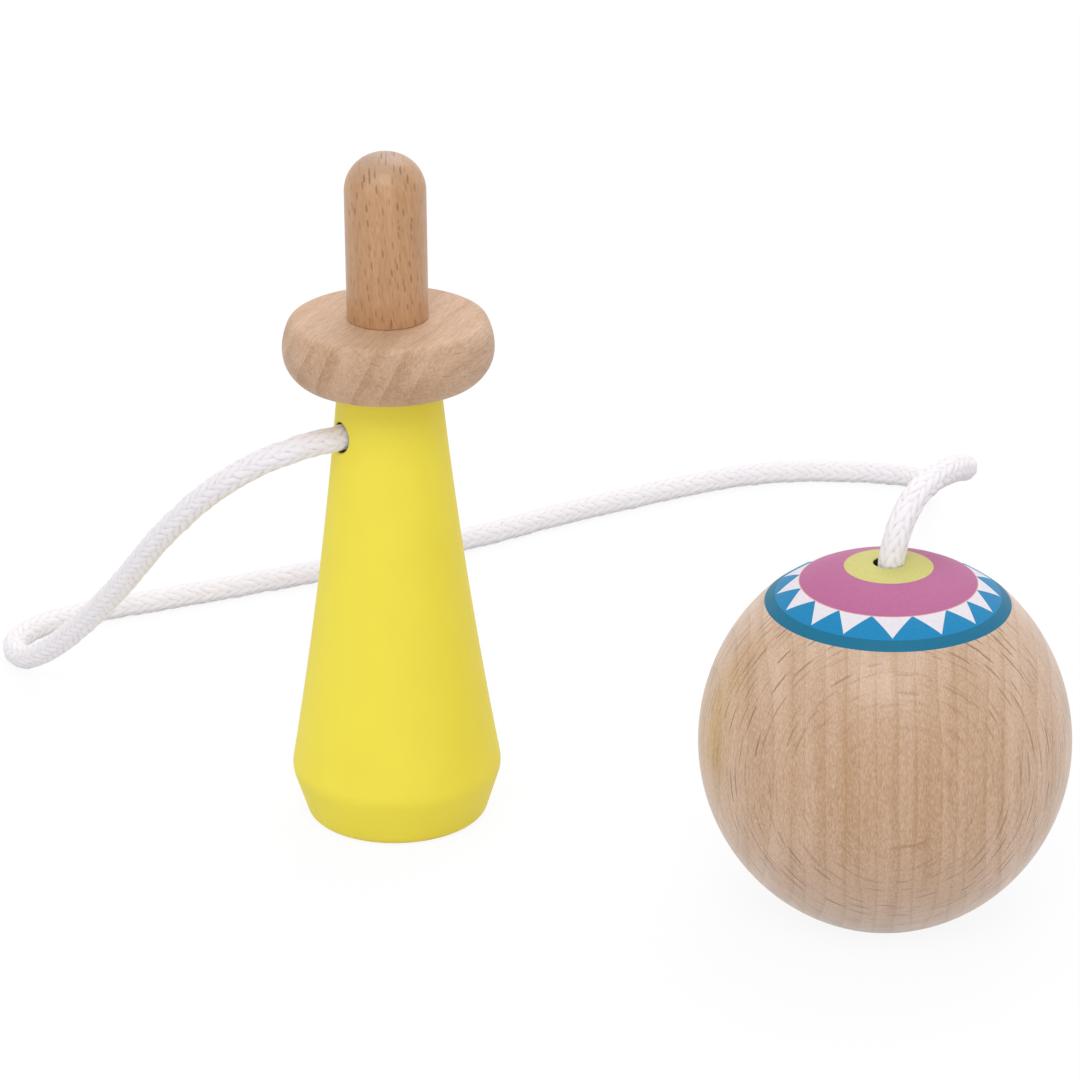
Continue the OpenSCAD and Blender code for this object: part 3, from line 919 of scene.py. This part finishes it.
crown_values = np.stack([np.repeat(crown_r[:, None], len(bearings), 1),
                         np.outer(ball_rows[:, 0], by_edge),
                         np.zeros((len(ball_rows), len(bearings)))], -1)
print("crown radius:", crown_r[crease_row].round(2), "triangles:", len(APEXES))

# %% [markdown]
# ## Crown paint
# Thin brush paint on turned wood has crisp edges, because the brush is held
# still while the ball spins, and stays half matt. A colour ramp with hard
# steps over the crown radius gives the rings, with a thin salmon line where the
# pink thins out, and a triangle is where the value by its edge is less than
# the radius of its point. The paint dries duller than the lacquer, so it has
# no clear coat, and a fine noise makes it thicker here and thinner there. The
# wall of the hole for the cord is dark brown, which is painted shade.

# %% Crown paint
LIME, PINK, SALMON, BLUE = "#c9c472", "#b46390", "#d79a92", "#0080b4"
TEAL, WHITE = "#006a8c", "#e0dbe2"
LIME_EDGE, PINK_EDGE, BLUE_EDGE = 7.1, 14.15, 18.0
RAMP_SPAN = 25.0
SPECKLE_SIZE, THIN_PAINT, THICK_PAINT = 0.45, 0.93, 1.06

ball_beech, tree = new_material("lacquered beech with brushed crown")
crown = add(tree, "Attribute", attribute_name="crown").outputs["Vector"]
crown = add(tree, "SeparateXYZ", {0: crown}).outputs
share = add(tree, "Math", {0: crown["X"], 1: 1 / RAMP_SPAN}, operation="MULTIPLY")
rings = add(tree, "ValToRGB", {0: share})
rings.color_ramp.interpolation = "CONSTANT"
stops = [(0.0, LIME), (LIME_EDGE, PINK), (PINK_EDGE, SALMON), (BASE_R, BLUE), (BLUE_EDGE, TEAL)]
while len(rings.color_ramp.elements) < len(stops):
    rings.color_ramp.elements.new(0.5)
for element, (edge_r, paint) in zip(rings.color_ramp.elements, stops):
    element.position = edge_r / RAMP_SPAN
    element.color = linear(paint)
inside = add(tree, "Math", {0: crown["Y"], 1: APEX_R}, operation="LESS_THAN")
beyond = add(tree, "Math", {0: crown["X"], 1: BASE_R}, operation="GREATER_THAN")
triangle = add(tree, "Math", {0: inside, 1: beyond}, operation="MULTIPLY")
painted = add(tree, "Mix", {MIX_BY: triangle, MIX_FROM: rings, MIX_TO: linear(WHITE)}, data_type="RGBA")
speckle = add(tree, "TexNoise", {"Vector": add(tree, "TexCoord").outputs["Object"],
              "Scale": 1 / (SPECKLE_SIZE * MM), "Detail": 2.0, "Roughness": 0.6})
thickness = add(tree, "MapRange", {"Value": speckle, "From Min": 0.25, "From Max": 0.75,
                "To Min": THIN_PAINT, "To Max": THICK_PAINT})
painted = add(tree, "VectorMath", {0: painted, "Scale": thickness}, operation="SCALE")
print("paints on the crown:", len(stops) + 1)

# %% Ball
# the dark brown on the wall of the cord's hole is painted shade
TEAL_EDGE, PAINT_LAP, HOLE_SHADE = 19.7, 0.1, "#3f2618"
BALL_COAT = 0.65

over_hole = add(tree, "Math", {0: crown["X"], 1: CORD_HOLE - PAINT_LAP}, operation="GREATER_THAN")
within = add(tree, "Math", {0: crown["X"], 1: TEAL_EDGE}, operation="LESS_THAN")
covered = add(tree, "Math", {0: over_hole, 1: within}, operation="MULTIPLY")
grain_tint, grain_height = beech_grain(tree, BALL_WOOD)
# painted shade: the wall of the cord's hole is dark brown, and elsewhere the bare wood shows its grain
bare = add(tree, "Mix", {MIX_BY: over_hole, MIX_FROM: linear(HOLE_SHADE), MIX_TO: grain_tint},
           data_type="RGBA")
tint = add(tree, "Mix", {MIX_BY: covered, MIX_FROM: bare, MIX_TO: painted}, data_type="RGBA")
bare_coat = add(tree, "MapRange", {"Value": covered, "To Min": BALL_COAT, "To Max": 0.0})
lacquered(tree, tint, grain_height, roughness=0.5, coat=bare_coat, coat_roughness=0.3)

points, faces = turned(ball_rows, bearings, (BALL_X, 0), True)
ball = make_piece("drilled_ball", points, faces, ball_beech, crown=crown_values)
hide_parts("ball")
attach(ball, "ball")

# %% [markdown]
# ## The handle
# The handle is a long cone with a slightly hollow side, a soft widest edge
# and a slanted foot. It is turned like the others, but the cord's hole is
# drilled into its side. A Boolean would leave long thin faces, so a patch of
# the grid is left out instead, and rings of points lead from the patch's edge
# to a round rim and on into the hole.

# %% Handle outline
HANDLE_TOP, LIP_RADIUS, FOOT_RADIUS = 78.5, 8.45, 15.0
EDGE_RADIUS, EDGE_HEIGHT, WAIST_RADIUS = 17.8, 8.8, 850.0
EDGE_ROUND, FOOT_ROUND, SOCKET_LOW = 5.0, 1.8, 60.0
WAIST_POINTS, WAIST_CLEAR, HANDLE_EASE = 400, 0.2, 0.7

edge_at = np.array([EDGE_RADIUS, EDGE_HEIGHT])
lip_at = np.array([LIP_RADIUS, HANDLE_TOP])
climb = lip_at - edge_at
half_chord = np.linalg.norm(climb) / 2
waist_centre = (edge_at + lip_at) / 2 + np.array([climb[1], -climb[0]]) / (
    2 * half_chord) * np.sqrt(WAIST_RADIUS ** 2 - half_chord ** 2)
ways = np.degrees(np.arctan2(*(np.array([edge_at, lip_at]) - waist_centre).T[::-1]))
waist = arc(waist_centre, WAIST_RADIUS, *np.mod(ways, 360), WAIST_POINTS)
widest = corner((FOOT_RADIUS, 0), edge_at, waist[WAIST_POINTS // 10], EDGE_ROUND)
handle_outline = np.vstack([
    [(0, 0)],
    corner((0, 0), (FOOT_RADIUS, 0), edge_at, FOOT_ROUND), widest,
    waist[waist[:, 1] > widest[-1, 1] + WAIST_CLEAR],
    [(BORE_RADIUS, HANDLE_TOP), (BORE_RADIUS, SOCKET_LOW), (0, SOCKET_LOW)]])
handle_rows = rows_by_bend(eased(handle_outline, HANDLE_EASE, False), step=0.55, turn=4, closed=False)
print("handle's width:", (2 * handle_rows[:, 0].max()).round(2))

# %% Patch for the cord hole
PATCH_HALF, BORE_CLEAR = 4.4, 1


def port_patch(r, z, columns):
    """The rows of the handle's side near the hole, which faces of the grid
    stay around a square patch there, and the points on the patch's edge."""
    outer = np.flatnonzero((np.abs(z - PORT_HEIGHT) < PATCH_HALF) & (r > BORE_RADIUS + BORE_CLEAR))
    low, high = outer[0], outer[-1]
    spacing = r[low:high].mean() * 2 * np.pi / columns
    reach = int(round(PATCH_HALF / spacing))
    left, right = columns // 2 - reach, columns // 2 + reach
    row, col = np.divmod(np.arange((len(r) - 1) * columns), columns)
    keep = ~((row >= low) & (row < high) & (col >= left) & (col < right))
    around = np.concatenate([
        np.arange(left, right) + low * columns,
        np.arange(low, high) * columns + right,
        np.arange(right, left, -1) + high * columns,
        np.arange(high, low, -1) * columns + left])
    return outer, keep, around


print("patch in mm:", 2 * PATCH_HALF)

# %% Handle with its cord hole
HANDLE_COLUMNS, PATCH_RINGS = 160, 7
PORT_RADIUS, PORT_EASE, PORT_FLOOR = 2.5, 0.35, 5.3
LIP_TURNS, SHAFT_DEPTHS = (25, 50, 75, 90), (1.0, 2.0, 9.0)


def drilled_handle(rows, columns):
    """The turned grid without its patch, and rings in its place. A ring point
    is at (t, h) across and up from the hole's axis, on a line from the
    patch's edge to the rim; its distance along the axis is
    sqrt(R(height)^2 - t^2), with R the handle's radius there, less its depth."""
    bearings = PORT_BEARING - np.pi + all_round(columns)
    points, faces = turned(rows, bearings, (0, 0), False)
    r, z = rows[1:-1].T
    outer, keep, around = port_patch(r, z, columns)
    side = np.array([-PORT_WAY[1], PORT_WAY[0], 0])
    edge = np.stack([points[around] @ side, points[around, 2] - PORT_HEIGHT])
    outward = edge / np.hypot(*edge)
    rim = PORT_RADIUS + PORT_EASE
    share = np.linspace(1, 0, PATCH_RINGS + 1)[1:, None]
    lip = np.radians(LIP_TURNS)[:, None]
    shaft = np.array(SHAFT_DEPTHS)[:, None]
    wall_r = np.vstack([rim - PORT_EASE * np.sin(lip), np.full_like(shaft, PORT_RADIUS)])
    t, h = (np.vstack([share * e + (1 - share) * rim * o, wall_r * o]) for e, o in zip(edge, outward))
    depth = np.vstack([np.zeros_like(share), PORT_EASE * (1 - np.cos(lip)), shaft])
    radius = np.interp(PORT_HEIGHT + h, z[outer], r[outer])
    along = np.maximum(np.sqrt(radius ** 2 - t ** 2) - depth, PORT_FLOOR)
    rings = np.stack([along, t, PORT_HEIGHT + h], -1) @ [PORT_WAY, side, [0, 0, 1]]
    count, sides = len(points), len(around)
    grid = np.vstack([around[None], count + np.arange(t.size).reshape(t.shape)])
    here, there = grid[:-1], grid[1:]
    new = np.stack([here, np.roll(here, -1, 1), np.roll(there, -1, 1), there], -1)
    end = PORT_WAY * PORT_FLOOR + [0, 0, PORT_HEIGHT]
    # share of the hole's dark brown, bare wood and painted shade, from the rim inwards
    bare = np.zeros((count + t.size + 1, 3))
    bare[count:, 0] = np.append(np.repeat(np.clip(depth.ravel() / PORT_EASE, 0, 1), sides), 1)
    return (np.vstack([points, rings.reshape(-1, 3), end]),
            [faces[0][keep], *faces[1:], new.reshape(-1, 4),
             fan(grid[-1], count + t.size)], bare)


handle_points, handle_faces, bare_wood = drilled_handle(handle_rows, HANDLE_COLUMNS)
print("handle points:", len(handle_points))

# %% [markdown]
# ## Yellow paint
# The handle has a matt, very even yellow paint over the turned wood. Close to,
# the spray leaves a fine orange-peel, and the last lathe marks show through
# as faint rings. Inside the cord's hole the drill left bare wood, and its dark
# brown there is partly painted shade.

# %% Yellow paint and handle
# the dark brown in the cord's hole is bare wood darkened with painted shade
YELLOW, YELLOW_DEEP, DRILLED_AND_SHADED = "#f6e646", "#f0de40", "#6b4a2c"
PEEL_SIZE, MOTTLE_SIZE, LATHE_SPACING, LATHE_LENGTH = 0.5, 9.0, 1.1, 50

yellow_paint, tree = new_material("matt yellow paint on turned beech")
at = add(tree, "Mapping", {"Vector": add(tree, "TexCoord").outputs["Object"], "Scale": (1 / MM,) * 3})
peel = add(tree, "TexNoise", {"Vector": at, "Scale": 1 / PEEL_SIZE, "Detail": 2.0})
mottle = add(tree, "TexNoise", {"Vector": at, "Scale": 1 / MOTTLE_SIZE, "Detail": 3.0})
flat = add(tree, "VectorMath", {0: at, 1: (1 / LATHE_LENGTH, 1 / LATHE_LENGTH, 1 / LATHE_SPACING)},
           operation="MULTIPLY")
lathe = add(tree, "TexNoise", {"Vector": flat, "Scale": 1.0, "Detail": 2.0})
tint = add(tree, "Mix", {MIX_BY: mottle, MIX_FROM: linear(YELLOW), MIX_TO: linear(YELLOW_DEEP)},
           data_type="RGBA")
# inside the cord's hole the colour turns dark brown: bare wood with painted shade
hole = add(tree, "Attribute", attribute_name="bare").outputs["Vector"]
hole = add(tree, "SeparateXYZ", {0: hole}).outputs["X"]
tint = add(tree, "Mix", {MIX_BY: hole, MIX_FROM: tint, MIX_TO: linear(DRILLED_AND_SHADED)}, data_type="RGBA")
height = add(tree, "Math", {0: peel, 1: lathe}, operation="ADD")
relief = add(tree, "Bump", {"Strength": 0.25, "Distance": 0.00004, "Height": height})
body = add(tree, "BsdfPrincipled", {
    "Base Color": tint, "Roughness": 0.55, "IOR": 1.48, "Normal": relief})
add(tree, "OutputMaterial", {0: body})

handle = make_piece("tapered_handle", handle_points, handle_faces, yellow_paint, bare=bare_wood)
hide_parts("handle")
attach(handle, "handle")
